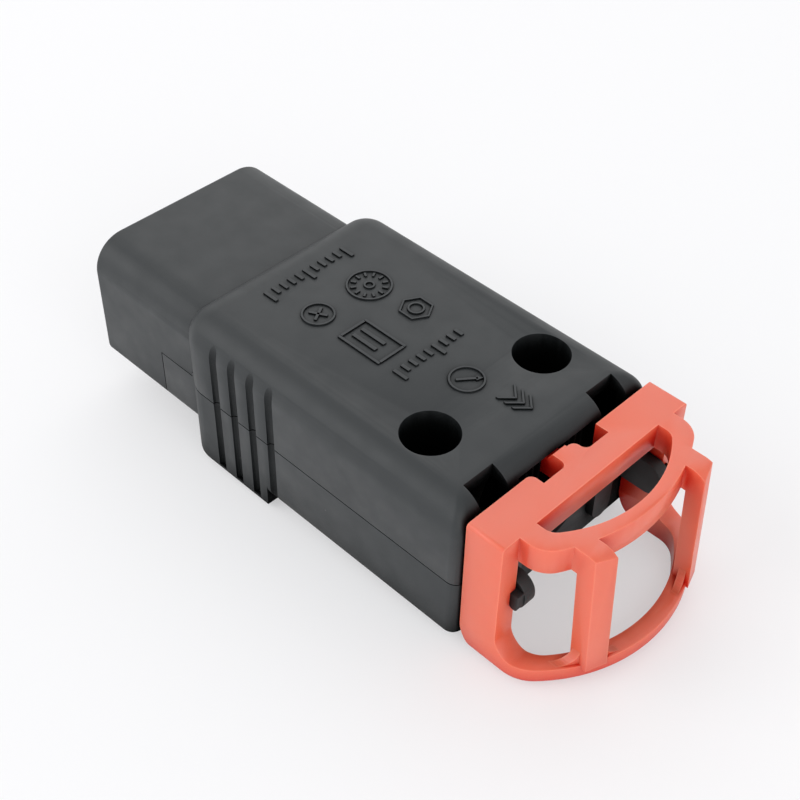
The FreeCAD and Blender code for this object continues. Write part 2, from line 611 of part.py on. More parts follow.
add(pivotPin, "Y", -lugOuter, lugOuter, "Pin", lambda sketch: disc(
    sketch, (s["leverX"], s["pivotZ"]), s["pivotRadius"]))

# ---- release slider: cage, arms, yoke and pull rod in one moulding --------------------------
slider = newBody("release_slider")
cageStart = bodyEnd + s["sliderGap"]
wallEnd = cageStart + s["sliderWallLength"]
cageTip = cageStart + s["sliderReach"]
plateTip = cageStart + s["plateReach"]
plateBottom = s["sliderTop"] - s["plateSheet"]
rimTop = s["rimHeight"] - s["sliderBottom"]
add(slider, "Z", -s["sliderBottom"], rimTop, "LowerPlate",
    dShape(cageStart, sliderHalf, cageTip, s["rearArcRadius"]))
roundEdges(slider, s["cornerRound"], "LowerCorners", lambda e: (
    e.XLength < tolerance and e.YLength < tolerance and e.XMin > wallEnd.value))
roundEdges(slider, s["rimRound"], "LowerRim", lambda e: (
    flatAt(e.ZMin, e.ZMax, -s["sliderBottom"]) and e.XMax > cageStart.value + tolerance))
cut(slider, "Z", -s["sliderBottom"], rimTop, "LowerOpening",
    dShape(cageStart, wallInner, cageTip - s["rimWidth"], s["rearArcRadius"] - s["rimWidth"]))
openingCorner = arcEnd(wallInner, cageTip - s["rimWidth"], s["rearArcRadius"] - s["rimWidth"])
roundEdges(slider, s["plateRound"], "LowerOpeningCorners", lambda e: (
    e.XLength < tolerance and e.YLength < tolerance and near(e.XMin, openingCorner)
    and near(max(abs(e.YMin), abs(e.YMax)), wallInner)))
add(slider, "X", cageStart, wallEnd, "Walls",
    pair(wallInner, sliderHalf, -s["sliderBottom"] + s["rimRound"], s["sliderTop"]))
roundEdges(slider, s["wallFootRound"], "WallFeet", lambda e: (
    flatAt(e.ZMin, e.ZMax, rimTop) and flatAt(e.XMin, e.XMax, wallEnd)))
roundEdges(slider, s["sliderEdge"], "WallTops", lambda e: (
    flatAt(e.ZMin, e.ZMax, s["sliderTop"]) and e.YLength < tolerance
    and near(max(abs(e.YMin), abs(e.YMax)), sliderHalf)))
add(slider, "Z", plateBottom, s["sliderTop"], "UpperPlate",
    dShape(cageStart, half("plateWidth"), plateTip, s["plateArcRadius"]))
plateCorner = arcEnd(half("plateWidth"), plateTip, s["plateArcRadius"])
roundEdges(slider, s["plateRound"], "UpperCorners", lambda e: (
    e.XLength < tolerance and e.YLength < tolerance and near(e.XMin, plateCorner)
    and e.ZMin > 0))
pillarInner, pillarOuter = s["pillarInner"], s["pillarInner"] + s["pillarWidth"]


def pillarFoot(side, lean):
    innerTip = cageStart + s["pillarReach"] + lean
    corners = [(innerTip - s["pillarDepth"], pillarInner), (innerTip, pillarInner),
               (innerTip - s["pillarSkew"], pillarOuter),
               (innerTip - s["pillarDepth"] - s["pillarSkew"], pillarOuter)]
    return [(x, y * side) for x, y in corners]


for side, name in ((-1, "NearPillar"), (1, "FarPillar")):
    loft(slider, name, rimTop - s["sliderEdge"], pillarFoot(side, s["pillarLean"]),
         s["sliderTop"], pillarFoot(side, asSize(0)))
add(slider, "Z", plateBottom, s["sliderTop"], "PillarRoots",
    pairInPlan(plateTip - s["rimWidth"] - s["pillarSkew"], plateTip - half("pillarSkew"),
               pillarInner, pillarOuter))
roundTip, roundTop = cageStart + s["pillarReach"] + s["pillarLean"], s["sliderTop"]
roundSize = s["pillarRound"] + s["pillarLean"]
cut(slider, "Y", -pillarOuter - s["sliderEdge"], pillarOuter + s["sliderEdge"], "PillarTops", shape(
    [(roundTip, roundTop), (roundTip - roundSize, roundTop), (roundTip, roundTop - roundSize)],
    {1: -roundSize}))
cut(slider, "Z", plateBottom, s["sliderTop"], "FingerSlot",
    dShape(cageStart + s["fingerStart"], half("fingerWidth"), cageStart + s["fingerReach"],
           s["fingerArcRadius"]))
fingerCorner = arcEnd(half("fingerWidth"), cageStart + s["fingerReach"], s["fingerArcRadius"])
roundEdges(slider, s["fingerRound"], "FingerSlotCorners", lambda e: (
    e.XLength < tolerance and e.YLength < tolerance and near(e.XMin, fingerCorner)
    and near(max(abs(e.YMin), abs(e.YMax)), half("fingerWidth"))))
cut(slider, "Z", plateBottom, s["sliderTop"], "FrontBites",
    pairInPlan(cageStart, cageStart + s["biteDepth"], s["biteInner"], s["biteInner"] + s["biteWidth"]))
biteOuter, biteEnd = s["biteInner"] + s["biteWidth"], cageStart + s["biteDepth"]
softCorners = [(cageStart, -biteOuter), (cageStart, s["biteInner"]),
               (biteEnd, -s["biteInner"]), (biteEnd, s["biteInner"])]
roundEdges(slider, s["biteRound"], "BiteCorners", lambda e: (
    e.XLength < tolerance and e.YLength < tolerance and e.ZMin > 0
    and any(near(e.XMin, x) and near(e.YMin, y) for x, y in softCorners)))
tongueTip, tongueTop = cageStart - s["tongueReach"], s["mouthTop"] - s["runningGap"]
slopeTop = cageStart - s["tongueLip"]
add(slider, "Y", -s["biteInner"], s["tongueFar"], "Tongue", shape(
    [(tongueTip, plateBottom), (cageStart, plateBottom), (cageStart, s["sliderTop"]),
     (slopeTop, s["sliderTop"]), (slopeTop - s["tongueSlope"], tongueTop), (tongueTip, tongueTop)]))
frontLow = -s["sliderBottom"]
cut(slider, "Y", -sliderHalf, sliderHalf, "FrontLowerRounding", shape(
    [(cageStart, frontLow), (cageStart + s["frontLowerRound"], frontLow),
     (cageStart, frontLow + s["frontLowerRound"])], {1: -s["frontLowerRound"]}))

# ---- pull frame: moves with the cage and reaches forward to the lock lever ------------------
frame = newBody("pull_frame")
armEnd = wallEnd + s["armTail"]
strutEnd = roomEnd - s["slideTravel"] - s["runningGap"]
strutStart = strutEnd - s["strutLength"]
guideOuter = roomSide - s["guideSideGap"]
guideInner = guideOuter - s["guideSheet"]
yokeEnd = s["yokeStart"] + s["yokeLength"]
add(frame, "X", s["yokeStart"], yokeEnd, "Yoke",
    box(-guideOuter, rodBottom, guideOuter, rodBottom + s["yokeHeight"]))
hookBack = leverFront - s["rodHookGap"]
hookFront = hookBack - s["rodHookSheet"]
add(frame, "X", hookFront, s["yokeStart"], "Rod",
    box(-half("rodWidth"), rodBottom, half("rodWidth"), rodTop))
add(frame, "X", hookFront, hookBack, "RodHook",
    box(-half("rodWidth"), rodBottom, half("rodWidth"), rodBottom + s["rodHookHeight"]))
add(frame, "X", s["yokeStart"], strutStart, "Guides",
    pair(guideInner, guideOuter, -s["guideBottom"], -s["guideTop"]))
add(frame, "X", strutStart, strutEnd, "Struts",
    pair(armInner, guideOuter, -s["guideBottom"], parting - s["runningGap"]))
armSide = shape(
    [(armStart, armBottom), (armEnd - s["armRound"], armBottom),
     (armEnd, armBottom + s["armRound"]), (armEnd, s["armTop"] - s["armRound"]),
     (armEnd - s["armRound"], s["armTop"]), (armStart, s["armTop"])],
    {1: s["armRound"], 3: s["armRound"]})
barbEnd, barbBottom = wallEnd + s["barbLength"], armBottom + s["barbRise"]
barbTop = barbBottom + s["barbHeight"]
barbSide = shape(
    [(wallEnd + s["barbRound"], barbBottom), (barbEnd - s["barbRound"], barbBottom),
     (barbEnd, barbBottom + s["barbRound"]), (barbEnd, barbTop), (wallEnd, barbTop),
     (wallEnd, barbBottom + s["barbRound"])], {1: s["barbRound"], 5: s["barbRound"]})
add(frame, "Y", -armOuter, -armInner, "NearArm", armSide)
add(frame, "Y", armInner, armOuter, "FarArm", armSide)
add(frame, "Y", -armOuter - s["barbReach"], -armOuter, "NearBarb", barbSide)
add(frame, "Y", armOuter, armOuter + s["barbReach"], "FarBarb", barbSide)

# ---- tension springs between the posts and the yoke -----------------------------------------
springs = []
for side, name in ((-1, "near"), (1, "far")):
    label = name + "_spring"
    coil = doc.addObject("Part::Helix", name + "Coil")
    bind(coil, "Pitch", s["springPitch"])
    bind(coil, "Height", s["springLength"] - s["springWire"] * 2)
    bind(coil, "Radius", s["springRadius"])
    wire = doc.addObject("Part::Circle", name + "Wire")
    bind(wire, "Radius", s["springWire"])
    bind(wire, "Placement.Base.x", s["springRadius"])
    wire.Placement.Rotation = FreeCAD.Rotation(Vector(1, 0, 0), 90)
    doc.recompute()
    spring = doc.addObject("Part::Sweep", label)
    spring.Sections = [wire]
    spring.Spine = (coil, ["Edge1"])
    spring.Solid = True
    spring.Frenet = True
    spring.Placement.Rotation = FreeCAD.Rotation(Vector(0, 1, 0), 90)
    bind(spring, "Placement.Base.x", seatStart + s["springWire"])
    bind(spring, "Placement.Base.y", s["springY"] * side)
    bind(spring, "Placement.Base.z", rodBottom + s["springRise"])
    springs.append(spring)

nodes = [upper, lower, carrier] + contacts + terminals + [
    terminalScrews, bench, caseScrewSet, clamp, clampScrewSet, lever, pivotPin, slider, frame] + springs

# ---- check and write ------------------------------------------------------------------------
doc.recompute()
for node in nodes:
    if node.Shape.isNull() or not node.Shape.isValid() or not node.Shape.Solids:
        raise RuntimeError("%s has no valid shape" % node.Label)
for thing in doc.Objects:
    if "Invalid" in thing.State or "Error" in thing.State:
        raise RuntimeError("%s is in error" % thing.Name)
for node in nodes:
    node.Shape.exportStep("parts/%s.step" % node.Label)
    limits = node.Shape.BoundBox
    print("%-22s x %6.2f %6.2f  y %6.2f %6.2f  z %6.2f %6.2f  solids %d" % (
        node.Label, limits.XMin, limits.XMax, limits.YMin, limits.YMax, limits.ZMin, limits.ZMax,
        len(node.Shape.Solids)))
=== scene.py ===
# Looks for the locking C19 connector: black moulded housing, red release cage, pale studio
import bmesh
import json
import math
import bpy
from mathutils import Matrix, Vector


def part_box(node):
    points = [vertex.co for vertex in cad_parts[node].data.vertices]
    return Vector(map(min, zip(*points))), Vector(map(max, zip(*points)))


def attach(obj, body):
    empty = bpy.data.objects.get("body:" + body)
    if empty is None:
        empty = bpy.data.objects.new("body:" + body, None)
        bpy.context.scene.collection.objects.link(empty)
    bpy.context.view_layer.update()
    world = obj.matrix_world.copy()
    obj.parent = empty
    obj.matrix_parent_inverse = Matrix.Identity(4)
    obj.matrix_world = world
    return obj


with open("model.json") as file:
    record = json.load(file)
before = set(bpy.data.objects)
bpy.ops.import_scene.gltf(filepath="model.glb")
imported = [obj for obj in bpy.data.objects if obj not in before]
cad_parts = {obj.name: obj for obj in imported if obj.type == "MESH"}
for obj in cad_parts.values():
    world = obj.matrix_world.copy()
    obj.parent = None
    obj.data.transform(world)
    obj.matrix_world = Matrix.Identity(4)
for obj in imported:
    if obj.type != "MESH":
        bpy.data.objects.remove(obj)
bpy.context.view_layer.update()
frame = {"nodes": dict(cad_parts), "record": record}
mm = 0.001
print("frame loaded:", len(frame["nodes"]), "nodes")


def toLinear(hexColour):
    parts = [int(hexColour[i:i + 2], 16) / 255 for i in (1, 3, 5)]
    return tuple(c / 12.92 if c <= 0.04045 else ((c + 0.055) / 1.055) ** 2.4 for c in parts) + (1.0,)


def newMaterial(name):
    material = bpy.data.materials.new(name)
    material.use_nodes = True
    return material, material.node_tree, material.node_tree.nodes["Principled BSDF"]


def addNode(tree, kind, settings=None, links=None):
    # settings go to the node's properties or sockets, links feed its inputs; a colour mix has its
    # factor at socket 0, its two colours at 6 and 7 and its result at output 2
    node = tree.nodes.new("ShaderNode" + kind)
    for key, value in (settings or {}).items():
        if isinstance(key, str) and hasattr(node, key):
            setattr(node, key, value)
        else:
            node.inputs[key].default_value = value
    for key, socket in (links or {}).items():
        tree.links.new(socket, node.inputs[key])
    return node


# lengths are in millimetres; each look paints shade into its hollows: a darker shade colour, the reach of
# the occlusion, and the openness range where that painted shade is full and where it is gone; a paler
# colour paints a highlight along the rounded edges
# injection-moulded black ABS: a spark-eroded tool leaves a fine matte skin with tiny bright grains
blackAbs = {
    "colour": "#25282a", "drift": "#2b2f31", "paintedEdgeHighlight": "#3a3d40", "speck": "#8f9091",
    "paintedShade": "#050606", "paintedShadeReach": 9.0, "paintedShadeOpenness": (0.45, 0.95),
    "roughness": 0.5, "roughnessSpread": 0.05, "specular": 0.5, "grainWidth": 0.16, "grainHeight": 0.007,
    "speckPitch": 3.4, "speckSize": 0.09, "speckShare": 0.45,
}
# injection-moulded red nylon from a polished tool: satin, and it glows orange where light soaks in
redNylon = {
    "colour": "#dd5f41", "drift": "#e16747", "paintedEdgeHighlight": "#f08a6e", "speck": "#f2937e",
    "paintedShade": "#c0140e", "paintedShadeReach": 5.0, "paintedShadeOpenness": (0.3, 0.95),
    "roughness": 0.4, "roughnessSpread": 0.04, "specular": 1.0, "grainWidth": 0.3, "grainHeight": 0.004,
    "speckPitch": 5.0, "speckSize": 0.07, "speckShare": 0.2,
    "soak": 0.3, "soakDepth": 1.6, "soakTint": (1.0, 0.22, 0.12),
}
# glass-filled nylon of the insulator: greyer and rougher than the shells, fibres show as grain
insulatorNylon = {
    "colour": "#242526", "drift": "#2e2f30", "paintedEdgeHighlight": "#3a3b3c", "speck": "#6a6b6c",
    "paintedShade": "#0a0a0b", "paintedShadeReach": 3.0, "paintedShadeOpenness": (0.25, 0.9),
    "roughness": 0.6, "roughnessSpread": 0.08, "specular": 0.4, "grainWidth": 0.25, "grainHeight": 0.012,
    "speckPitch": 1.6, "speckSize": 0.08, "speckShare": 0.5,
}

# what all moulded skins share, lengths in millimetres
skin = {
    "flowLength": 14.0, "patchWidth": 3.0, "grainStrength": 0.5,
    "edgeReach": 0.3, "edgeRange": (0.995, 0.9), "edgeShare": 0.5, "roughRange": (0.3, 0.7),
}


def mouldedPlastic(name, look):
    material, tree, shader = newMaterial(name)
    place = addNode(tree, "TexCoord").outputs["Object"]
    # pigment drifts slowly along the flow of the melt
    flow = addNode(tree, "TexNoise", {"Scale": 1 / (skin["flowLength"] * mm), "Detail": 3.0},
                   {"Vector": place})
    base = addNode(tree, "Mix", {"data_type": "RGBA", 6: toLinear(look["colour"]),
                                 7: toLinear(look["drift"])}, {0: flow.outputs["Fac"]})
    # painted highlight: the edges are painted paler, standing in for the highlight along the rounds; an
    # edge is where the rounded normal leaves the plain one
    rounded = addNode(tree, "Bevel", {"samples": 4, "Radius": skin["edgeReach"] * mm})
    plain = addNode(tree, "NewGeometry")
    agree = addNode(tree, "VectorMath", {"operation": "DOT_PRODUCT"},
                    {0: rounded.outputs[0], 1: plain.outputs["Normal"]})
    edge = addNode(tree, "MapRange", {"From Min": skin["edgeRange"][0], "From Max": skin["edgeRange"][1],
                                      "To Max": skin["edgeShare"]}, {"Value": agree.outputs["Value"]})
    edgeHighlighted = addNode(tree, "Mix", {"data_type": "RGBA", 7: toLinear(look["paintedEdgeHighlight"])},
                   {0: edge.outputs[0], 6: base.outputs[2]})
    # sparse bright grains in the skin
    cells = addNode(tree, "TexVoronoi", {"Scale": 1 / (look["speckPitch"] * mm)}, {"Vector": place})
    dot = addNode(tree, "MapRange", {"From Min": look["speckSize"] / look["speckPitch"], "From Max": 0.0},
                  {"Value": cells.outputs["Distance"]})
    chosen = addNode(tree, "SeparateColor", None, {0: cells.outputs["Color"]})
    kept = addNode(tree, "Math", {"operation": "LESS_THAN", 1: look["speckShare"]}, {0: chosen.outputs[0]})
    amount = addNode(tree, "Math", {"operation": "MULTIPLY"}, {0: dot.outputs[0], 1: kept.outputs[0]})
    specked = addNode(tree, "Mix", {"data_type": "RGBA", 7: toLinear(look["speck"])},
                      {0: amount.outputs[0], 6: edgeHighlighted.outputs[2]})
    # painted shade: ambient occlusion pulls the colour in the hollows towards a darker, deeper tone,
    # standing in for the shade there
    openness = addNode(tree, "AmbientOcclusion", {"samples": 6, "Distance": look["paintedShadeReach"] * mm})
    paintedShadeOpenness = addNode(tree, "MapRange", {"From Min": look["paintedShadeOpenness"][0], "From Max": look["paintedShadeOpenness"][1]},
                     {"Value": openness.outputs["AO"]})
    paintedShadeMix = addNode(tree, "Mix", {"data_type": "RGBA", 6: toLinear(look["paintedShade"])},
                       {0: paintedShadeOpenness.outputs[0], 7: specked.outputs[2]})
    tree.links.new(paintedShadeMix.outputs[2], shader.inputs["Base Color"])
    # the tool's grain breaks up the highlight; it is drawn about twice its real width to show at all
    grain = addNode(tree, "TexNoise", {"Scale": 1 / (look["grainWidth"] * mm), "Detail": 2.0,
                                       "Roughness": 0.6}, {"Vector": place})
    bump = addNode(tree, "Bump", {"Strength": skin["grainStrength"], "Distance": look["grainHeight"] * mm},
                   {"Height": grain.outputs["Fac"]})
    tree.links.new(bump.outputs[0], shader.inputs["Normal"])
    # the gloss is uneven in patches; in the hollows the same occlusion mask turns the shine down, a painted
    # shade on the highlights
    patch = addNode(tree, "TexNoise", {"Scale": 1 / (skin["patchWidth"] * mm), "Detail": 4.0},
                    {"Vector": place})
    rough = addNode(tree, "MapRange", {"From Min": skin["roughRange"][0], "From Max": skin["roughRange"][1],
                                       "To Min": look["roughness"] - look["roughnessSpread"],
                                       "To Max": look["roughness"] + look["roughnessSpread"]},
                    {"Value": patch.outputs["Fac"]})
    tree.links.new(rough.outputs[0], shader.inputs["Roughness"])
    shine = addNode(tree, "Math", {"operation": "MULTIPLY", 1: look["specular"]}, {0: paintedShadeOpenness.outputs[0]})
    tree.links.new(shine.outputs[0], shader.inputs["Specular IOR Level"])
    shader.inputs["IOR"].default_value = 1.5
    if "soak" in look:
        shader.inputs["Subsurface Weight"].default_value = look["soak"]
        shader.inputs["Subsurface Scale"].default_value = look["soakDepth"] * mm
        shader.inputs["Subsurface Radius"].default_value = look["soakTint"]
    return material


# rolled or drawn stock: fine lines along X stretch the highlight across them
stock = {"lineLength": 2.0, "lineWidth": 1 / 6, "lineHeight": 0.004, "lineStrength": 0.4,
         "roughSpread": (0.08, 0.1)}


def drawnMetal(name, colour, roughness):
    material, tree, shader = newMaterial(name)
    place = addNode(tree, "TexCoord").outputs["Object"]
    across = 1 / (stock["lineWidth"] * mm)
    stretched = addNode(tree, "Mapping", {"Scale": (1 / (stock["lineLength"] * mm), across, across)},
                        {"Vector": place})
    lines = addNode(tree, "TexNoise", {"Scale": 1.0, "Detail": 3.0}, {"Vector": stretched.outputs[0]})
    rough = addNode(tree, "MapRange", {"From Min": skin["roughRange"][0], "From Max": skin["roughRange"][1],
                                       "To Min": roughness - stock["roughSpread"][0],
                                       "To Max": roughness + stock["roughSpread"][1]},
                    {"Value": lines.outputs["Fac"]})
    tree.links.new(rough.outputs[0], shader.inputs["Roughness"])
    bump = addNode(tree, "Bump", {"Strength": stock["lineStrength"], "Distance": stock["lineHeight"] * mm},
                   {"Height": lines.outputs["Fac"]})
    tree.links.new(bump.outputs[0], shader.inputs["Normal"])
    shader.inputs["Base Color"].default_value = toLinear(colour)
    shader.inputs["Metallic"].default_value = 1.0
    return material


finishes = {
    "black_housing": mouldedPlastic("mouldedBlackAbs", blackAbs),
    "red_slider": mouldedPlastic("mouldedRedNylon", redNylon),
    "insulator": mouldedPlastic("glassFilledNylon", insulatorNylon),
    "contact_brass": drawnMetal("foldedBrass", "#c9a55c", 0.32),        # rolled strip: warm and satin
    "terminal_brass": drawnMetal("sawnBrass", "#bf9c58", 0.36),         # sawn bar: duller and browner
    "screw_steel": drawnMetal("zincPlatedSteel", "#a9abae", 0.3),       # plated: pale and a little blue
    "lock_steel": drawnMetal("stampedSteel", "#9a9b9d", 0.34),          # bare sheet: plain mid grey
    "spring_steel": drawnMetal("springSteel", "#a3a4a6", 0.25),         # drawn wire: the brightest steel
}
slotOf = {part["node"]: part["material_slot"] for part in frame["record"]["subparts"]}
for name, node in frame["nodes"].items():
    node.data.materials.clear()
    node.data.materials.append(finishes[slotOf[name]])

# moulded edges are never sharp: radius in millimetres for each piece
edgeRounds = {"upper_shell": 0.1, "lower_shell": 0.1, "release_slider": 0.22, "pull_frame": 0.15}
edgeAngle = 35.0
weldReach = 0.002


def softenEdges(node, width):
    weld = node.modifiers.new("weld", "WELD")
    weld.merge_threshold = weldReach * mm
    bevel = node.modifiers.new("edges", "BEVEL")
    bevel.width = width
    bevel.segments = 2
    bevel.limit_method = "ANGLE"
    bevel.angle_limit = math.radians(edgeAngle)
    bevel.harden_normals = True
    node.data.polygons.foreach_set("use_smooth", [True] * len(node.data.polygons))


for name, width in edgeRounds.items():
    softenEdges(frame["nodes"][name], width * mm)
print("materials and edges done")


def makePiece(name, body, slot, build):
    mesh = bmesh.new()
    build(mesh)
    bmesh.ops.recalc_face_normals(mesh, faces=mesh.faces)
    bmesh.ops.scale(mesh, vec=(mm, mm, mm), verts=mesh.verts)
    data = bpy.data.meshes.new(name)
    mesh.to_mesh(data)
    mesh.free()
    data.materials.append(finishes[slot])
    piece = bpy.data.objects.new(name, data)
    bpy.context.scene.collection.objects.link(piece)
    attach(piece, body)


def addSweep(mesh, sections):
    # skins the sections in turn and closes both ends
    loops = [[mesh.verts.new(point) for point in section] for section in sections]
    for first, second in zip(loops, loops[1:]):
        for i in range(len(first)):
            j = (i + 1) % len(first)
            mesh.faces.new((first[i], first[j], second[j], second[i]))
    mesh.faces.new(loops[0][::-1])
    mesh.faces.new(loops[-1])


# raised marks on the top of the housing, all of one height and drawn with one line
relief = {"height": 0.2, "sink": 0.05, "draft": 0.06, "line": 0.34, "ringSteps": 48}
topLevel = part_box("upper_shell")[1][2] / mm
markLow, markHigh = topLevel - relief["sink"], topLevel + relief["height"]


def around(centre, reach, angle):
    return centre[0] + reach * math.cos(angle), centre[1] + reach * math.sin(angle)


def bar(centre, length, width, angle=0.0):
    along = Vector((math.cos(angle), math.sin(angle))) * length / 2
    across = Vector((-math.sin(angle), math.cos(angle))) * width / 2
    middle = Vector(centre)
    return [tuple(middle - along - across), tuple(middle + along - across),
            tuple(middle + along + across), tuple(middle - along + across)]


def addMark(mesh, loop, draft=relief["draft"]):
    # its sides slope: the upper loop is drawn in towards the loop's middle
    middle = sum((Vector(p) for p in loop), Vector((0, 0))) / len(loop)
    drawn = [Vector(p) + (middle - Vector(p)).normalized() * draft for p in loop]
    addSweep(mesh, [[(x, y, markLow) for x, y in loop], [(x, y, markHigh) for x, y in drawn]])


def addHoop(mesh, centre, radius, count=relief["ringSteps"]):
    # a low count makes a polygon
    inner, draft = radius - relief["line"], relief["draft"]
    loops = []
    for reach, level in ((inner, markLow), (inner + draft, markHigh), (radius - draft, markHigh),
                         (radius, markLow)):
        loops.append([mesh.verts.new((*around(centre, reach, 2 * math.pi * i / count), level))
                      for i in range(count)])
    for first, second in zip(loops, loops[1:] + loops[:1]):
        for i in range(count):
            j = (i + 1) % count
            mesh.faces.new((second[i], second[j], first[j], first[i]))


# two scales across the housing; a row is its place along the housing, its ticks and its long tick
scales = {"rows": [(25.3, 11, 2.3), (45.8, 9, 2.2)], "pitch": 1.25, "width": 0.46, "shortShare": 0.62,
          "longEvery": 5}


def tickScales(mesh):
    for x, count, longTick in scales["rows"]:
        for i in range(count):
            reach = longTick if i % scales["longEvery"] == 0 else longTick * scales["shortShare"]
            side = (i - (count - 1) / 2) * scales["pitch"]
            addMark(mesh, bar((x - (longTick - reach) / 2, side), reach, scales["width"]))


dial = {"place": (31.9, 3.7), "radius": 2.9, "hub": 0.75, "hubSteps": 32, "ticks": 12, "tickLength": 0.75,
        "tickWidth": 0.3, "gap": 0.2}


def dateDial(mesh):
    addHoop(mesh, dial["place"], dial["radius"])
    addHoop(mesh, dial["place"], dial["hub"], dial["hubSteps"])
    reach = dial["radius"] - relief["line"] - dial["tickLength"] / 2 - dial["gap"]
    for i in range(dial["ticks"]):
        angle = 2 * math.pi * i / dial["ticks"]
        place = around(dial["place"], reach, angle)
        addMark(mesh, bar(place, dial["tickLength"], dial["tickWidth"], angle))


crossRing = {"place": (31.6, -4.4), "radius": 2.1, "armShare": 1.15, "turn": 0.5}


def cavityRing(mesh):
    addHoop(mesh, crossRing["place"], crossRing["radius"])
    for angle in (crossRing["turn"], crossRing["turn"] + math.pi / 2):
        addMark(mesh, bar(crossRing["place"], crossRing["radius"] * crossRing["armShare"], relief["line"],
                          angle))


barBox = {"place": (39.5, -3.3), "size": (6.4, 4.2), "barShare": 0.6, "barWidth": 0.5, "barShift": 0.5,
          "barSide": 0.7}


def barFrame(mesh):
    (x, y), (long, wide), line = barBox["place"], barBox["size"], relief["line"]
    for side in (-1, 1):
        addMark(mesh, bar((x, y + side * wide / 2), long + line, line))
        addMark(mesh, bar((x + side * long / 2, y), line, wide - line))
        addMark(mesh, bar((x - barBox["barShift"], y + side * barBox["barSide"]),
                          long * barBox["barShare"], barBox["barWidth"]))


nut = {"place": (38.9, 4.6), "radius": 2.2, "sides": 6, "boreShare": 0.5, "boreSteps": 32}


def hexNut(mesh):
    addHoop(mesh, nut["place"], nut["radius"], nut["sides"])
    addHoop(mesh, nut["place"], nut["radius"] * nut["boreShare"], nut["boreSteps"])


arrow = {"place": (51.5, -0.2), "radius": 2.2, "turn": 0.9, "shaftShare": 1.2, "tipShare": 0.62,
         "headSize": 0.55, "headTurns": (0.0, 2.3, 4.0)}


def arrowDial(mesh):
    addHoop(mesh, arrow["place"], arrow["radius"])
    addMark(mesh, bar(arrow["place"], arrow["radius"] * arrow["shaftShare"], relief["line"], arrow["turn"]))
    tip = around(arrow["place"], arrow["radius"] * arrow["tipShare"], arrow["turn"])
    addMark(mesh, [around(tip, arrow["headSize"], arrow["turn"] + turn) for turn in arrow["headTurns"]])


# slim chevrons point to the cage
chevron = {"place": (57.2, 1.4), "count": 3, "pitch": 1.15, "half": 1.5, "draft": 0.02}


def chevrons(mesh):
    x, y = chevron["place"]
    reach, line = chevron["half"], relief["line"]
    for i in range(chevron["count"]):
        tip = x + i * chevron["pitch"]
        for side in (-1, 1):
            addMark(mesh, [(tip, y), (tip + line, y), (tip - reach + line, y + side * reach),
                           (tip - reach, y + side * reach)], chevron["draft"])


for name, build in (("tick_scales", tickScales), ("date_dial", dateDial), ("cavity_ring", cavityRing),
                    ("bar_frame", barFrame), ("hex_nut_mark", hexNut), ("arrow_dial", arrowDial),
                    ("chevron_marks", chevrons)):
    makePiece(name, "housing", "black_housing", build)
print("top marks done")

# webs at the feet of the two posts, a hollow curve from a side of the post down to the ring
webs = {
    "postSides": (7.35, 9.9), "reach": 2.1, "steps": 10, "sink": 0.15,
    "ringHeight": 2.7, "ringRadius": 20.0, "frontInset": 1.2, "rearInset": 0.3,
}
cageLow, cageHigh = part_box("release_slider")
ringTop = round(cageLow[2] / mm, 1) + webs["ringHeight"]
ringMiddle = round(cageHigh[0] / mm, 1) - webs["ringRadius"]


def postWeb(start, away, side):
    def build(mesh):
        low = ringTop - webs["sink"]
        sections = []
        for i in range(webs["steps"] + 1):
            turn = math.pi / 2 * i / webs["steps"]
            root = webs["sink"] if i == 0 else 0.0      # the first section stands inside the post
            y = start + away * (webs["reach"] * (1 - math.cos(turn)) - root)
            top = ringTop + webs["reach"] * (1 - math.sin(turn))
            front, rear = (ringMiddle + math.sqrt((webs["ringRadius"] - webs[inset]) ** 2 - y ** 2)
                           for inset in ("frontInset", "rearInset"))
            sections.append([(front, side * y, low), (rear, side * y, low), (rear, side * y, top),
                             (front, side * y, top)])
        addSweep(mesh, sections)
    return build


for side, hand in ((-1, "near"), (1, "far")):
    for start, away, place in zip(webs["postSides"], (-1, 1), ("inner", "outer")):
        makePiece(hand + "_" + place + "_web", "slider", "red_slider", postWeb(start, away, side))

# two round-ended ribs on the rear wall of the housing, seen through the finger slot of the cage
ribs = {"sink": 0.4, "proud": 1.1, "side": 7.95, "width": 3.2, "top": 3.5, "foot": -6.7, "steps": 16}
rearWall = round(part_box("lower_shell")[1][0] / mm, 1)


def wallRib(side):
    def build(mesh):
        radius = ribs["width"] / 2
        loop = [(side * ribs["side"] - radius, ribs["top"]), (side * ribs["side"] + radius, ribs["top"])]
        for i in range(ribs["steps"] + 1):
            turn = math.pi * i / ribs["steps"]
            loop.append((side * ribs["side"] + radius * math.cos(turn),
                         ribs["foot"] + radius - radius * math.sin(turn)))
        addSweep(mesh, [[(x, y, z) for y, z in loop]
                        for x in (rearWall - ribs["sink"], rearWall + ribs["proud"])])
    return build


for side, hand in ((-1, "near"), (1, "far")):
    makePiece(hand + "_wall_rib", "housing", "black_housing", wallRib(side))
print("webs and ribs done")

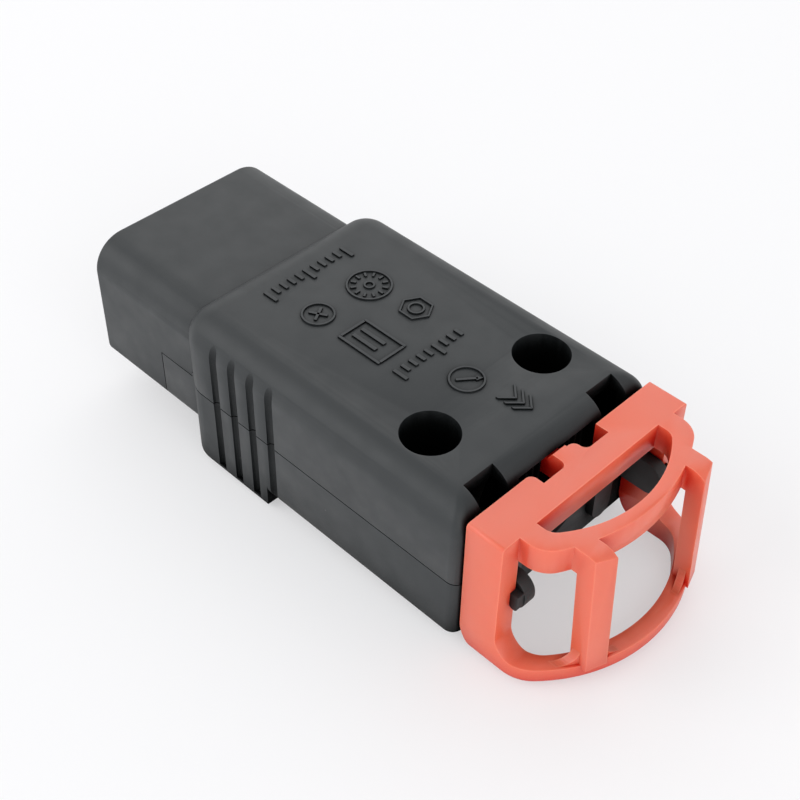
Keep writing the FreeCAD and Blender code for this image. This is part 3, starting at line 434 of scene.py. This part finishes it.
# pale sweep of paper: it shows near white, keeps most of its tone in shadow and bounces light;
# it is laid against the rear of the grip and the rim of the cage, a hair clear of both
stage = {
    "colour": "#f4f4f6", "shown": "#fdfdfe", "shownShare": 0.45, "roughness": 0.8, "shine": 0.2,
    "size": 6.0, "gripRear": 32.5, "rimFoot": 79.0, "gap": 0.07,
}
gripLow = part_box("lower_shell")[0][2]
floorTilt = math.atan2(cageLow[2] - gripLow, (stage["rimFoot"] - stage["gripRear"]) * mm)
bpy.ops.mesh.primitive_plane_add(size=stage["size"], rotation=(0, -floorTilt, 0),
                                 location=(stage["gripRear"] * mm, 0, gripLow - stage["gap"] * mm))
floor = bpy.context.object
floor.name = "floor"
paper, paperTree, paperShader = newMaterial("sweepPaper")
paperShader.inputs["Base Color"].default_value = toLinear(stage["colour"])
paperShader.inputs["Roughness"].default_value = stage["roughness"]
paperShader.inputs["Specular IOR Level"].default_value = stage["shine"]
path = addNode(paperTree, "LightPath")
seen = addNode(paperTree, "Math", {"operation": "MAXIMUM"},
               {0: path.outputs["Is Camera Ray"], 1: path.outputs["Is Glossy Ray"]})
seenToo = addNode(paperTree, "Math", {"operation": "MAXIMUM"},
                  {0: seen.outputs[0], 1: path.outputs["Is Transmission Ray"]})
share = addNode(paperTree, "Math", {"operation": "MULTIPLY", 1: stage["shownShare"]},
                {0: seenToo.outputs[0]})
shown = addNode(paperTree, "Emission", {"Color": toLinear(stage["shown"]), "Strength": 1.0})
mixed = addNode(paperTree, "MixShader", None,
                {0: share.outputs[0], 1: paperShader.outputs[0], 2: shown.outputs[0]})
paperTree.links.new(mixed.outputs[0], paperTree.nodes["Material Output"].inputs["Surface"])
floor.data.materials.append(paper)

# softboxes: place and size in metres, power in watts
lamps = {
    "keySoftbox": {"place": (-0.40, 0.46, 0.62), "size": (1.2, 1.0), "power": 3.1},
    "nearSoftbox": {"place": (-0.42, -0.62, 0.50), "size": (0.8, 0.7), "power": 3.0},
    "fillSoftbox": {"place": (0.75, -0.35, 0.40), "size": (0.8, 0.7), "power": 3.2},
}
lampAim = Vector((0.04, 0.0, 0.0))
for name, lamp in lamps.items():
    light = bpy.data.lights.new(name, "AREA")
    light.shape = "RECTANGLE"
    light.size, light.size_y = lamp["size"]
    light.energy = lamp["power"]
    softbox = bpy.data.objects.new(name, light)
    bpy.context.scene.collection.objects.link(softbox)
    softbox.location = lamp["place"]
    softbox.rotation_euler = (lampAim - softbox.location).to_track_quat("-Z", "Y").to_euler()

# the room: bright low walls, a darker ceiling between the lamps
room = {"low": 1.0, "middle": 0.62, "middleAt": 0.45, "high": 0.50}
world = bpy.data.worlds.new("studio")
bpy.context.scene.world = world
world.use_nodes = True
sky = world.node_tree
direction = addNode(sky, "TexCoord").outputs["Generated"]
height = addNode(sky, "SeparateXYZ", None, {0: direction})
tone = addNode(sky, "ValToRGB", None, {0: height.outputs["Z"]})
lowest, highest = tone.color_ramp.elements[0], tone.color_ramp.elements[1]
lowest.color = (room["low"],) * 3 + (1,)
highest.color = (room["high"],) * 3 + (1,)
between = tone.color_ramp.elements.new(room["middleAt"])
between.color = (room["middle"],) * 3 + (1,)
sky.links.new(tone.outputs[0], sky.nodes["Background"].inputs["Color"])
sky.nodes["Background"].inputs["Strength"].default_value = 1.0

# camera: lens and sensor in millimetres, place in millimetres, turn in degrees
view = {"lens": 62.85, "sensor": 36.0, "place": (125.9, -88.1, 116.52), "turn": (46.42, -0.807, 44.72)}
camera = bpy.data.cameras.new("camera")
camera.lens = view["lens"]
camera.sensor_width = view["sensor"]
eye = bpy.data.objects.new("camera", camera)
bpy.context.scene.collection.objects.link(eye)
eye.location = [value * mm for value in view["place"]]
eye.rotation_euler = [math.radians(value) for value in view["turn"]]
bpy.context.scene.camera = eye
bpy.context.scene.view_settings.view_transform = "Standard"
print("stage, lights and camera done")
